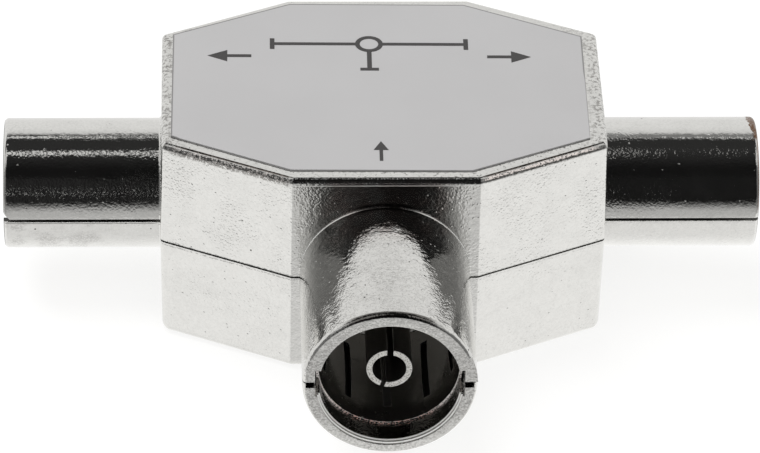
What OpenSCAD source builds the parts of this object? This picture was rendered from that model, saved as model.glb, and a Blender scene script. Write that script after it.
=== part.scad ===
// Two-way aerial splitter: a die-cast body in two halves, one socket in front and a plug on each side.
// Millimetres. X runs to the right, Y to the back and Z up. The origin is the centre of the flat base.

/* [Body] */
// Width of the body at its seam
body_w = 32.2; // [32:0.1:38]
// Depth of the body at its seam
body_d = 23.1; // [22.6:0.1:28]
// Length of the body's straight front edge and back edge
front_edge = 13.4; // [13:0.1:15]
// Length of the body's straight side edges
side_edge = 14.2; // [13.6:0.1:15]
// Height of each shell from the seam to its flat face
shell_h = 8.45; // [8.1:0.05:11]
// How far the sides lean in from the seam to the flat face
draft = 0.1; // [0.05:0.05:0.4]
// Rounding of the top edges
top_edge_r = 0.45; // [0.2:0.05:0.6]
// Rounding of the bottom edges
bottom_edge_r = 0.8; // [0.3:0.05:1]
// Rounding of the upright corners at the seam
corner_r = 0.35; // [0.2:0.05:0.6]
// Rounding where the plug barrels meet the body
plug_root_r = 0.15; // [0.05:0.01:0.2]
// Rounding where the socket barrel meets the body
socket_root_r = 0.04; // [0.03:0.01:0.2]
// Thickness of the slanted walls and of the back wall
wall = 1.6; // [1.3:0.1:1.8]
// Thickness of the wall behind the front socket
front_wall = 2.4; // [2.2:0.1:2.6]
// Thickness of the walls behind the side plugs
side_wall = 2.3; // [2.1:0.1:2.5]
// Thickness of the top and of the bottom
roof_t = 1.4; // [1:0.1:1.7]
// Depth and height of the fine groove that runs along the body's seam
seam_line = 0.14; // [0.05:0.01:0.2]

/* [Shell fastening] */
// Radius of the cast pins that join the shells
press_pin_r = 0.9; // [0.6:0.05:1]
// Length of the cast pins below the seam
press_pin_len = 3.5; // [2:0.1:4.5]
// Distance from the slanted wall's outer face to a pin's axis
press_pin_in = 2.1; // [2:0.1:2.3]
// Radius of the bosses round the pins
boss_r = 1.9; // [1.6:0.1:2]
// Clearance round a pin in its hole
press_fit = 0.01; // [0.01:0.01:0.03]

/* [Side plugs] */
// Outer radius of the plug barrels
plug_r = 4.75; // [4.7:0.01:4.8]
// Length of the plug barrels from the body
plug_len = 11.4; // [10:0.1:14]
// Inner radius of the plug barrels
plug_bore_r = 4.15; // [4.1:0.01:4.25]
// Radius of the plugs' centre pins
plug_pin_r = 1.2; // [1.15:0.01:1.22]
// How far a centre pin stays behind the end of its barrel
plug_pin_recess = 0.5; // [0.2:0.1:1.5]
// Gap between the half barrels of a plug
plug_seam_gap = 0.25; // [0.1:0.01:0.35]
// Corner that is broken off the left plug's upper half, at the front of its seam
broken_corner = 0.45; // [0.3:0.05:0.6]

/* [Front socket] */
// Outer radius of the socket barrel
socket_r = 6.15; // [6.1:0.01:6.3]
// Length of the socket barrel from the body
socket_len = 12.6; // [12:0.1:15]
// Depth of the socket's mouth in front of its sleeve
mouth_depth = 2.1; // [1.6:0.1:2.2]
// Radius of the mouth's opening
mouth_r = 4.96; // [4.9:0.01:5]
// How far each half of the mouth is moved away from the seam
mouth_shift = 0.2; // [0.1:0.05:0.25]
// Width of the two steps round the lower half of the mouth
mouth_step = 0.1; // [0.05:0.01:0.12]
// Depth of each of the two steps
mouth_step_depth = 0.2; // [0.1:0.05:0.3]
// Half width of the mouth across its two pockets at the seam
pocket_half_w = 5.25; // [5.25:0.01:5.4]
// Height of a pocket above the seam
pocket_up = 1.25; // [0.8:0.05:1.5]
// Height of a pocket below the seam
pocket_down = 1; // [0.8:0.05:1.5]
// Gap on each side of the barrel's seam
socket_seam_gap = 0.25; // [0.1:0.01:0.35]
// Width of the lip of the lower half that closes the barrel's seam at the outside
seam_lip = 0.25; // [0.1:0.05:0.3]
// Gap between this lip and the upper half
lip_gap = 0.08; // [0.02:0.01:0.1]
// Height up to which the right side of the barrel's end has no rounding
plain_end_h = 2.3; // [1:0.1:3]

/* [Socket contacts] */
// Inner radius of the spring sleeve
sleeve_r = 4.775; // [4.7:0.005:4.8]
// Wall thickness of the spring sleeve
sleeve_t = 0.2; // [0.15:0.01:0.22]
// How far the front of the sleeve flares out
sleeve_flare = 0.2; // [0.05:0.01:0.22]
// How far the sleeve's fingers bow in
finger_bow = 0.12; // [0:0.01:0.2]
// Length over which the fingers bow in at each end
bow_rise = 2.2; // [1.6:0.1:3]
// Number of slots round the sleeve
slot_count = 10; // [6:1:12]
// Width of a sleeve slot
slot_w = 0.55; // [0.3:0.05:0.7]
// Length of a sleeve slot
slot_len = 6.3; // [4:0.1:7]
// Distance from the sleeve's front to its slots
slot_start = 1.5; // [1.2:0.1:2]
// Inner radius of the centre contact
contact_bore_r = 1.2; // [1.15:0.01:1.25]
// Wall thickness of the centre contact
contact_t = 0.41; // [0.3:0.01:0.45]
// How far the centre contact stays behind the end of the barrel
contact_recess = 1.85; // [1:0.05:3]
// Width of the centre contact's upper slot
contact_gap = 0.44; // [0.2:0.02:0.6]
// Width of the centre contact's lower slot
contact_slit = 0.33; // [0.2:0.01:0.5]
// Length of the centre contact's slots
contact_slot_len = 7; // [4:0.1:8]

/* [Insulators and tails] */
// Thickness of the insulators' flanges
flange_t = 1; // [0.6:0.1:1.1]
// Distance from the body's outer face to a flange groove
flange_set = 0.5; // [0.4:0.05:0.6]
// How far a flange reaches beyond the bore in front of it
flange_step = 0.46; // [0.3:0.02:0.5]
// How far an insulator's nose stands in front of its flange
nose_len = 1.6; // [1:0.1:2.5]
// Radius of the opening behind an insulator
web_r = 2.5; // [1.6:0.1:2.8]
// Radius of the contacts' tails
tail_r = 0.8; // [0.6:0.05:0.9]
// Length of the contacts' tails inside the cavity
tail_len = 2.2; // [1.8:0.1:2.4]
// Clearance between pieces that are set into each other
fit = 0.03; // [0.02:0.01:0.05]

/* [Circuit] */
// Thickness of the circuit board
board_t = 1; // [0.8:0.1:1.6]
// Clearance between the board's edge and the shells
board_clear = 0.15; // [0.1:0.05:0.25]
// Width of the ledge under the board's edge
ledge_w = 1; // [0.6:0.1:1.2]
// Thickness of the copper tracks
track_t = 0.05; // [0.03:0.01:0.1]
// Thickness of the solder between a tail and its track
solder_bed = 0.15; // [0.1:0.01:0.2]
// Radius of the component leads
lead_r = 0.22; // [0.15:0.01:0.25]
// Width of the matching transformer's core
matching_core_w = 4.4; // [4.2:0.1:4.8]
// Length of the matching transformer's core along its holes
matching_core_d = 3.2; // [2.8:0.1:3.4]
// Height of the matching transformer's core
matching_core_h = 2.8; // [2.6:0.1:3.6]
// Width of the splitting transformer's core
splitting_core_w = 5.4; // [5:0.1:5.8]
// Length of the splitting transformer's core along its holes
splitting_core_d = 3.6; // [3:0.1:3.8]
// Height of the splitting transformer's core
splitting_core_h = 3.2; // [2.8:0.1:4]
// Radius of the holes through a core
core_hole_r = 0.85; // [0.8:0.05:0.95]
// Radius of the enamelled wire
wire_r = 0.22; // [0.15:0.01:0.25]
// Number of turns of each winding
turns = 3; // [2:1:3]
// Radius of the disc capacitors
disc_r = 2.1; // [1.5:0.1:2.4]
// Thickness of the disc capacitors
disc_t = 1.6; // [1.2:0.1:2]
// Distance between a capacitor's leads
disc_pitch = 2.5; // [2:0.1:2.6]
// Length of the balance resistor's body
resistor_len = 3.6; // [3:0.1:4]
// Radius of the balance resistor's ends
resistor_r = 0.9; // [0.7:0.05:1]

/* [Label] */
// Thickness of the foil label
label_t = 0.1; // [0.1:0.01:0.3]
// Rim of bare metal between the label and the top's outline
label_margin = 0.75; // [0.7:0.01:1.2]
// How far the label was stuck to the right of the body's middle
label_shift_x = -0.22; // [-0.3:0.01:0.3]
// How far the label was stuck behind the body's middle
label_shift_y = 0.14; // [-0.25:0.01:0.25]
// How far the label was stuck askew
label_turn = -0.6; // [-1:0.1:1]
// How far the print sits to the right of the label's middle
print_shift = -0.65; // [-1:0.05:1]
// Thickness of the print
print_t = 0.02; // [0.01:0.01:0.05]
// Width of the printed lines
stroke = 0.34; // [0.2:0.02:0.5]
// Length of a printed arrow
arrow_len = 3.2; // [2:0.1:4]
// Distance between the ends of the printed branch
branch_w = 14.2; // [10:0.1:15]
// Height of the printed branch's stem
branch_h = 3.4; // [2:0.1:4]
// Distance from the label's back edge to the printed branch
branch_in = 5.2; // [4:0.1:6]
// Distance from the label's sides to the side arrows
side_arrow_in = 4.8; // [4:0.1:6]
// Distance from the label's middle line to the side arrows
side_arrow_back = 3.7; // [2:0.1:5]
// Distance from the label's front edge to the front arrow
front_arrow_in = 2.3; // [2:0.1:4]

/* [Hidden] */
$fn = 64;
// A small overlap that keeps cuts clean
eps = 0.01;
// Larger than the part in every direction
big = 100;
// Rounding round the end of a barrel, towards the axis and along it
plug_end = [0.3, 0.3];
socket_end = [0.27, 0.5];
// Chamfer round the end of each press pin
pin_chamfer = 0.3;
// Steps of arc in a rounded edge of the body
edge_steps = 6;

half_w = body_w / 2;
half_d = body_d / 2;
// Outward normal of the slanted face at the back right, and its distance from the centre
slant_across = [half_d - side_edge / 2, half_w - front_edge / 2];
slant_n = slant_across / norm(slant_across);
slant_c = slant_n * [half_w, side_edge / 2];

cavity_x = half_w - side_wall;
cavity_front = half_d - front_wall;
press_pin_at = [front_edge / 2 + half_w, half_d + side_edge / 2] / 2 - press_pin_in * slant_n;

// Stations along a plug, measured from the body's centre
plug_tip = half_w + plug_len;
plug_groove = half_w - flange_set;
plug_nose = plug_groove + nose_len;
plug_flange_r = plug_bore_r + flange_step;

// Stations along the socket, measured from the body's centre
socket_tip = half_d + socket_len;
socket_groove = half_d - flange_set;
sleeve_front = socket_tip - mouth_depth;
sleeve_seat_r = sleeve_r + sleeve_t + sleeve_flare + 2 * fit;
socket_flange_r = sleeve_seat_r + flange_step;
socket_nose = socket_groove - sleeve_t + nose_len;
contact_front = socket_tip - contact_recess;
contact_r = contact_bore_r + contact_t;
contact_floor = socket_nose + 0.8;

// Heights of the board, measured from the seam
board_top = -(tail_r + solder_bed + track_t);
track_top = board_top + track_t;
board_under = board_top - board_t;
hole_r = lead_r + 0.08;
lead_below = 0.7;

// Distance from a core's middle to its winding's bared ends, and to the winding's outside
function winding_end(size) = size.y / 2 + size.x / 4 + wire_r / 4;
function winding_reach(size) = winding_end(size) + wire_r;

// Places of the components on the board
core_gap = 0.3;
disc_lift = 0.6;
matching_core_size = [matching_core_w, matching_core_d, matching_core_h];
splitting_core_size = [splitting_core_w, splitting_core_d, splitting_core_h];
splitting_at = [0, half_d - wall - core_gap - winding_reach(splitting_core_size)];
core_spacing = winding_reach(splitting_core_size) + core_gap + winding_reach(matching_core_size);
matching_at = [0, splitting_at.y - core_spacing];
input_capacitor_at = [-0.4 * cavity_x, -cavity_front / 2];
side_capacitor_at = [cavity_x - tail_len - disc_r - 1.2, 0];
resistor_bend = resistor_len / 2 + 1;
resistor_at = [cavity_x / 2, press_pin_at.y - boss_r - resistor_r];

// Tracks and solder
track_w = 1.4;
track_edge = 0.2;
solder_r = 1;
solder_h = 1.1;
joint_r = 0.5;
joint_h = 0.45;

// Half width and half depth of the label
label_half = [half_w, half_d] - (draft + label_margin + top_edge_r / 2) * [1, 1];

// Corners of the body's octagon with its sides, ends and slanted faces moved in
function octagon(side_in, end_in, slant_in) =
    let (a = half_w - side_in, b = half_d - end_in, c = slant_c - slant_in)
    let (x = (c - slant_n.y * b) / slant_n.x, y = (c - slant_n.x * a) / slant_n.y)
    [[x, -b], [a, -y], [a, y], [x, b], [-x, b], [-a, y], [-a, -y], [-x, -b]];
function inset(t) = octagon(t, t, t);
function arc(r, steps) = [for (i = [0:steps]) r * [cos(90 * i / steps), sin(90 * i / steps)]];

module at_seam() { translate([0, 0, shell_h]) children(); }
module toward_right() { rotate([0, 90, 0]) children(); }
module toward_left() { rotate([0, -90, 0]) children(); }
module toward_front() { rotate([90, 0, 0]) children(); }
module turned(points) { rotate_extrude() polygon(points); }
module above(height) { translate([-big, -big, height]) cube([2 * big, 2 * big, big]); }
module four_corners() {
    for (x = [-1, 1], y = [-1, 1]) translate([x * press_pin_at.x, y * press_pin_at.y, 0]) children();
}

// One shell's outer form, from its seam at height 0 up to its flat face
module half_form(edge_r, lip) {
    seam_corners = inset(corner_r - draft / shell_h);
    flat_corners = inset(draft + edge_r);
    intersection() {
        hull() {
            for (p = seam_corners) translate([p.x, p.y, -1]) cylinder(r = corner_r, h = eps, $fn = 32);
            for (p = flat_corners)
                translate([p.x, p.y, shell_h - edge_r + eps])
                    rotate_extrude($fn = 32) polygon(concat([[0, 0]], arc(edge_r, edge_steps)));
        }
        translate([-big / 2, -big / 2, lip]) cube([big, big, shell_h - lip]);
    }
    if (lip > 0)
        linear_extrude(2 * lip) polygon(inset(2 * lip));
}

// A barrel from the body's middle, rounded at its end and where it leaves the face at the given distance
module barrel(radius, length, face, root_r, end_size) {
    root = [for (p = arc(root_r, 3)) [radius + root_r - p.y, face + root_r - p.x]];
    end = [for (p = arc(1, 4)) [radius - end_size.x * (1 - p.x), length - end_size.y * (1 - p.y)]];
    // Inside the body it widens a little towards the middle
    turned(concat([[0, 0], [radius + 2 * root_r, 0]], root, end, [[0, length]]));
}

// The half barrels above the seam, each with the gap that its seam shows
module half_barrels(socket_gap) {
    intersection() {
        union() {
            toward_left() barrel(plug_r, plug_tip, half_w, plug_root_r, plug_end);
            toward_right() barrel(plug_r, plug_tip, half_w, plug_root_r, plug_end);
        }
        above(plug_seam_gap / 2);
    }
    intersection() {
        toward_front() barrel(socket_r, socket_tip, half_d, socket_root_r, socket_end);
        above(socket_gap);
    }
}

// The low stretch of the upper barrel's right side, whose end has no rounding
module plain_end() {
    intersection() {
        toward_front() cylinder(r = socket_r, h = socket_tip);
        translate([0, -socket_tip, socket_seam_gap])
            cube([socket_r, socket_len, plain_end_h - socket_seam_gap]);
    }
}

// The lips of the lower half along the socket barrel's seam
module socket_lips() {
    intersection() {
        toward_front() barrel(socket_r, socket_tip, half_d, socket_root_r, socket_end);
        for (side = [-1, 1])
            translate([side * (socket_r - seam_lip / 2) - seam_lip / 2, -socket_tip, lip_gap - socket_seam_gap])
                cube([seam_lip, socket_len, 2 * socket_seam_gap]);
    }
}

// The long hollow through a plug's barrel, its flange groove and its web
module plug_hollow() {
    turned([
        [0, cavity_x - eps], [web_r, cavity_x - eps],
        [web_r, plug_groove - flange_t - 2 * fit], [plug_flange_r, plug_groove - flange_t - 2 * fit],
        [plug_flange_r, plug_groove], [plug_bore_r, plug_groove],
        [plug_bore_r, plug_tip + 1], [0, plug_tip + 1]
    ]);
}

// The hollow of the socket up to its mouth
module socket_hollow() {
    back = socket_groove - sleeve_t - flange_t - 3 * fit;
    turned([
        [0, cavity_front - eps], [web_r, cavity_front - eps],
        [web_r, back], [socket_flange_r, back],
        [socket_flange_r, socket_groove], [sleeve_seat_r, socket_groove],
        [sleeve_seat_r, sleeve_front + fit], [0, sleeve_front + fit]
    ]);
}

module hollows(pocket_h) {
    toward_left() plug_hollow();
    toward_right() plug_hollow();
    toward_front() socket_hollow();
    translate([0, 0, mouth_shift])
        toward_front() translate([0, 0, sleeve_front]) cylinder(r = mouth_r, h = mouth_depth + 1);
    translate([-pocket_half_w, -socket_tip - 1, -eps])
        cube([2 * pocket_half_w, mouth_depth + 1.5, pocket_h + eps]);
}

// Two fine steps by which the lower half of the mouth widens at its front
module mouth_steps() {
    inner_r = mouth_r + mouth_step;
    outer_r = mouth_r + 2 * mouth_step;
    outer_floor = socket_tip - mouth_step_depth;
    turned([
        [0, outer_floor - mouth_step_depth], [inner_r, outer_floor - mouth_step_depth],
        [inner_r, outer_floor], [outer_r, outer_floor], [outer_r, socket_tip + 1], [0, socket_tip + 1]
    ]);
}

// The room for the circuit, kept clear of the bosses
module cavity(top, rim) {
    difference() {
        intersection() {
            translate([0, 0, -eps]) linear_extrude(top + eps) polygon(inset(wall + rim));
            translate([-cavity_x + rim, -cavity_front + rim, -eps])
                cube([2 * (cavity_x - rim), big, big]);
        }
        four_corners() translate([0, 0, -1]) cylinder(r = boss_r, h = top + 2);
    }
}

module upper_shell() {
    color([0.80, 0.80, 0.79]) at_seam() {
        difference() {
            union() {
                half_form(top_edge_r, 0);
                half_barrels(socket_seam_gap);
                plain_end();
            }
            hollows(pocket_up);
            cavity(shell_h - roof_t, 0);
            translate([-plug_tip, -plug_r, plug_seam_gap / 2]) rotate([0, 45, 0])
                cube([sqrt(2) * broken_corner, plug_r, sqrt(2) * broken_corner], center = true);
        }
        four_corners() translate([0, 0, -press_pin_len])
            turned([
                [0, 0], [press_pin_r - pin_chamfer, 0], [press_pin_r, pin_chamfer],
                [press_pin_r, press_pin_len + 1], [0, press_pin_len + 1]
            ]);
    }
}

module lower_shell() {
    color([0.78, 0.78, 0.77]) at_seam() mirror([0, 0, 1]) difference() {
        union() {
            half_form(bottom_edge_r, seam_line);
            half_barrels(socket_seam_gap);
            socket_lips();
        }
        hollows(pocket_down);
        translate([0, 0, mouth_shift]) toward_front() mouth_steps();
        cavity(-board_under, 0);
        cavity(shell_h - roof_t, ledge_w);
        four_corners() translate([0, 0, -1]) cylinder(r = press_pin_r + press_fit, h = press_pin_len + 1.3);
    }
}

module label() {
    color([0.74, 0.74, 0.74]) label_place(shell_h)
        linear_extrude(label_t) polygon(inset(draft + label_margin + top_edge_r / 2));
}

module label_place(height) {
    at_seam() translate([label_shift_x, label_shift_y, height]) rotate([0, 0, label_turn]) children();
}

module arrow() {
    head = 0.45 * arrow_len;
    linear_extrude(print_t) polygon([
        [-arrow_len / 2, -stroke / 2], [arrow_len / 2 - head, -stroke / 2],
        [arrow_len / 2 - head, -head / 2], [arrow_len / 2, 0], [arrow_len / 2 - head, head / 2],
        [arrow_len / 2 - head, stroke / 2], [-arrow_len / 2, stroke / 2]
    ]);
}

// A plain line that branches to both sides from a ring
module branch_sign() {
    ring_r = 3 * stroke;
    difference() {
        union() {
            cylinder(r = ring_r, h = print_t);
            translate([-branch_w / 2, -stroke / 2, 0]) cube([branch_w, stroke, print_t]);
            translate([-stroke / 2, -branch_h, 0]) cube([stroke, branch_h, print_t]);
            for (side = [-1, 1]) translate([side * branch_w / 2, 0, 0])
                translate([-stroke / 2, -2 * stroke, 0]) cube([stroke, 4 * stroke, print_t]);
            translate([-2 * stroke, -branch_h, 0]) cube([4 * stroke, stroke, print_t]);
        }
        translate([0, 0, -1]) cylinder(r = ring_r - stroke, h = print_t + 2);
    }
}

module label_print() {
    color([0.24, 0.24, 0.24]) label_place(shell_h + label_t) {
        translate([print_shift, label_half.y - branch_in, 0]) branch_sign();
        for (side = [-1, 1])
            translate([print_shift + side * (label_half.x - side_arrow_in), side_arrow_back, 0])
                rotate([0, 0, side > 0 ? 0 : 180]) arrow();
        translate([0, front_arrow_in - label_half.y, 0]) rotate([0, 0, 90]) scale(0.75) arrow();
    }
}

module socket_sleeve() {
    back = socket_groove - sleeve_t - fit;
    slots_from = sleeve_front - slot_start - slot_len;
    bow_from = slots_from - bow_rise / 4;
    bow_to = sleeve_front - slot_start + bow_rise / 4;
    inner = [
        [sleeve_r, back], [sleeve_r, bow_from],
        [sleeve_r - finger_bow, bow_from + bow_rise], [sleeve_r - finger_bow, bow_to - bow_rise],
        [sleeve_r, bow_to], [sleeve_r + sleeve_flare, sleeve_front]
    ];
    outer = [for (i = [len(inner) - 1:-1:1]) inner[i] + [sleeve_t, 0]];
    flange = [
        [sleeve_r + sleeve_t, back + sleeve_t],
        [socket_flange_r - fit, back + sleeve_t], [socket_flange_r - fit, back]
    ];
    color([0.70, 0.70, 0.68]) at_seam() difference() {
        toward_front() turned(concat(inner, outer, flange));
        for (i = [0:slot_count - 1]) rotate([0, i * 360 / slot_count, 0])
            translate([-slot_w / 2, -slots_from - slot_len, -sleeve_r - 1]) cube([slot_w, slot_len, 2]);
    }
}

module socket_insulator() {
    back = socket_groove - sleeve_t - flange_t - 2 * fit;
    color([0.92, 0.92, 0.88]) at_seam() toward_front() difference() {
        union() {
            translate([0, 0, back]) cylinder(r = socket_flange_r - fit, h = flange_t);
            translate([0, 0, back]) cylinder(r = sleeve_r - fit, h = socket_nose - back);
        }
        translate([0, 0, back - 1]) cylinder(r = tail_r + fit, h = big);
    }
}

module socket_contact() {
    color([0.82, 0.80, 0.74]) at_seam() {
        difference() {
            toward_front() turned([
                [0, socket_nose], [contact_r, socket_nose], [contact_r, contact_front],
                [contact_bore_r, contact_front], [contact_bore_r, contact_floor], [0, contact_floor]
            ]);
            rotate([0, 2, 0]) translate([-contact_gap / 2, -contact_front - 1, 0])
                cube([contact_gap, contact_slot_len + 1, contact_r + 1]);
            rotate([0, 198, 0]) translate([-contact_slit / 2, -contact_front - 1, 0])
                cube([contact_slit, contact_slot_len + 1, contact_r + 1]);
        }
        toward_front() translate([0, 0, cavity_front - tail_len])
            cylinder(r = tail_r, h = socket_nose - cavity_front + tail_len + eps);
    }
}

// A plug's centre pin along +Z, with its round nose and its tail
module plug_pin() {
    tip = plug_tip - plug_pin_recess;
    nose = [for (p = arc(plug_pin_r, 6)) [p.x, tip - plug_pin_r + p.y]];
    color([0.82, 0.80, 0.74]) turned(concat(
        [[0, cavity_x - tail_len], [tail_r, cavity_x - tail_len], [tail_r, plug_nose], [plug_pin_r, plug_nose]],
        nose
    ));
}

module plug_insulator() {
    back = plug_groove - flange_t - fit;
    color([0.92, 0.92, 0.88]) difference() {
        union() {
            translate([0, 0, back]) cylinder(r = plug_flange_r - fit, h = flange_t);
            translate([0, 0, back]) cylinder(r = plug_bore_r - fit, h = plug_nose - back);
        }
        translate([0, 0, back - 1]) cylinder(r = tail_r + fit, h = big);
    }
}

module left_pin() { at_seam() toward_left() plug_pin(); }
module right_pin() { at_seam() toward_right() plug_pin(); }
module left_insulator() { at_seam() toward_left() plug_insulator(); }
module right_insulator() { at_seam() toward_right() plug_insulator(); }

// Every hole that a lead goes through
module lead_places() {
    disc_places(input_capacitor_at) children();
    disc_places(side_capacitor_at) children();
    disc_places([-side_capacitor_at.x, side_capacitor_at.y]) children();
    for (side = [-1, 1]) translate([resistor_at.x + side * resistor_bend, resistor_at.y, 0]) children();
}
module disc_places(at) {
    for (side = [-1, 1]) translate([at.x + side * disc_pitch / 2, at.y, 0]) children();
}
module tail_places() {
    translate([0, -cavity_front + tail_len / 2, 0]) children();
    for (side = [-1, 1]) translate([side * (cavity_x - tail_len / 2), 0, 0]) children();
}

module circuit_board() {
    color([0.76, 0.62, 0.34]) at_seam() difference() {
        intersection() {
            translate([0, 0, board_under]) linear_extrude(board_t) polygon(inset(wall + board_clear));
            translate([-cavity_x + board_clear, -cavity_front + board_clear, board_under - 1])
                cube([2 * (cavity_x - board_clear), big, big]);
        }
        four_corners() translate([0, 0, board_under - 1]) cylinder(r = boss_r + board_clear, h = board_t + 2);
        lead_places() translate([0, 0, board_under - 1]) cylinder(r = hole_r, h = board_t + 2);
    }
}

// A straight run of track between two places
module track(from, to) {
    size = [abs(to.x - from.x), abs(to.y - from.y)] + [track_w, track_w];
    translate([min(from.x, to.x) - track_w / 2, min(from.y, to.y) - track_w / 2, board_top])
        cube([size.x, size.y, track_t]);
}

// Runs of track from each place to the next
module track_line(places) {
    for (i = [1:len(places) - 1]) track(places[i - 1], places[i]);
}

module board_tracks() {
    pad_in = track_w / 2 + board_clear + track_edge;
    bend_y = tail_len + track_w / 3 - cavity_front;
    input_side = disc_pitch / 2 * [1, 0];
    matching_front = matching_at.y - winding_end(matching_core_size);
    inner_x = side_capacitor_at.x - disc_pitch / 2;
    core_side = splitting_core_w / 2 + track_w;
    color([0.80, 0.50, 0.30]) at_seam() difference() {
        union() {
            track_line([
                [0, pad_in - cavity_front], [0, bend_y],
                [input_capacitor_at.x - input_side.x, bend_y], input_capacitor_at - input_side
            ]);
            track_line([
                input_capacitor_at + input_side, [input_capacitor_at.x + input_side.x, matching_front],
                [0, matching_front]
            ]);
            track_line([
                [0, matching_at.y + winding_end(matching_core_size)],
                [0, splitting_at.y - winding_end(splitting_core_size)]
            ]);
            for (side = [-1, 1]) {
                track([side * (side_capacitor_at.x + disc_pitch / 2), 0], [side * (cavity_x - pad_in), 0]);
                track_line([
                    [side * inner_x, 0], [side * inner_x, resistor_at.y], [side * core_side, resistor_at.y]
                ]);
            }
            track(resistor_at + [resistor_bend, 0], resistor_at + [resistor_bend, -track_w]);
        }
        lead_places() translate([0, 0, board_top - 1]) cylinder(r = hole_r, h = 2);
    }
}

module solder_joints() {
    color([0.72, 0.72, 0.74]) at_seam() {
        difference() {
            tail_places() translate([0, 0, track_top])
                cylinder(r1 = solder_r, r2 = 0.7 * solder_r, h = solder_h);
            for (turn = [0, 90, 180]) rotate([0, 0, turn]) toward_left() cylinder(r = tail_r + fit, h = big);
        }
        difference() {
            lead_places() translate([0, 0, board_under - joint_h])
                cylinder(r1 = lead_r + 0.1, r2 = joint_r, h = joint_h);
            lead_places() translate([0, 0, board_under - 1]) cylinder(r = lead_r + fit, h = 2);
        }
    }
}

// A ferrite block with two through holes
module two_hole_core(size) {
    difference() {
        translate([-size.x / 2, -size.y / 2, 0]) cube(size);
        for (side = [-1, 1]) translate([side * size.x / 4, 0, size.z / 2])
            toward_front() translate([0, 0, -size.y]) cylinder(r = core_hole_r, h = 2 * size.y);
    }
}

// Turns of wire round the web between a core's holes, with both ends led down to the board
module core_winding(size) {
    pitch = 2 * wire_r + 0.02;
    lowest = size.z / 2 - pitch * (turns - 1) / 2;
    for (i = [0:turns - 1]) translate([0, 0, lowest + i * pitch]) {
        for (side = [-1, 1]) {
            translate([side * size.x / 4, size.y / 2, 0]) rotate([90, 0, 0]) cylinder(r = wire_r, h = size.y);
            translate([0, side * size.y / 2, 0]) rotate([0, 0, side > 0 ? 0 : 180])
                rotate_extrude(angle = 180) translate([size.x / 4, 0]) circle(r = wire_r);
        }
    }
    // The bared ends are thinner than the enamelled turns
    bare_r = 0.75 * wire_r;
    for (side = [-1, 1]) translate([0, side * winding_end(size), 0])
        cylinder(r = bare_r, h = lowest + (turns - 1) * pitch);
}

module on_board(at) { at_seam() translate([at.x, at.y, track_top]) children(); }
module matching_core() { color([0.25, 0.24, 0.23]) on_board(matching_at) two_hole_core(matching_core_size); }
module matching_winding() { color([0.70, 0.36, 0.16]) on_board(matching_at) core_winding(matching_core_size); }
module splitting_core() { color([0.25, 0.24, 0.23]) on_board(splitting_at) two_hole_core(splitting_core_size); }
module splitting_winding() {
    color([0.62, 0.20, 0.14]) on_board(splitting_at) core_winding(splitting_core_size);
}

// A lead from a height above the board down through its hole
module lead(height) {
    below = track_top - board_under + lead_below;
    translate([0, 0, -below]) cylinder(r = lead_r, h = height + below);
}

module disc_capacitor(at) {
    rim = 0.35 * disc_t;
    color([0.72, 0.42, 0.20]) on_board(at) {
        translate([0, 0, disc_lift + disc_r]) toward_front()
            turned([
                [0, -disc_t / 2], [disc_r - 2 * rim, -disc_t / 2], [disc_r, -rim / 2],
                [disc_r, rim / 2], [disc_r - 2 * rim, disc_t / 2], [0, disc_t / 2]
            ]);
        for (side = [-1, 1]) translate([side * disc_pitch / 2, 0, 0]) lead(disc_lift + disc_r);
    }
}
module input_capacitor() { disc_capacitor(input_capacitor_at); }
module left_capacitor() { disc_capacitor([-side_capacitor_at.x, side_capacitor_at.y]); }
module right_capacitor() { disc_capacitor(side_capacitor_at); }

module balance_resistor() {
    axis = resistor_r + 0.2;
    waist = 0.82 * resistor_r;
    cap = 0.8;
    color([0.82, 0.72, 0.52]) on_board(resistor_at) {
        translate([0, 0, axis]) toward_right() {
            translate([0, 0, -resistor_len / 2]) turned([
                [0, 0], [resistor_r, 0], [resistor_r, cap], [waist, cap + 0.2],
                [waist, resistor_len - cap - 0.2], [resistor_r, resistor_len - cap],
                [resistor_r, resistor_len], [0, resistor_len]
            ]);
            translate([0, 0, -resistor_bend]) cylinder(r = lead_r, h = 2 * resistor_bend);
        }
        for (side = [-1, 1]) translate([side * resistor_bend, 0, 0]) {
            lead(axis);
            translate([0, 0, axis]) sphere(r = lead_r);
        }
    }
}

upper_shell();
lower_shell();
label();
label_print();
socket_sleeve();
socket_insulator();
socket_contact();
left_pin();
left_insulator();
right_pin();
right_insulator();
circuit_board();
board_tracks();
solder_joints();
matching_core();
matching_winding();
splitting_core();
splitting_winding();
balance_resistor();
input_capacitor();
left_capacitor();
right_capacitor();
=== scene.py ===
"""Looks of a two-way aerial splitter: plated shells, foil label, spring contacts and the light round them."""
import math

import bmesh
import bpy
from bpy.props import FloatProperty, FloatVectorProperty, PointerProperty
from mathutils import Matrix, Vector


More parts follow.
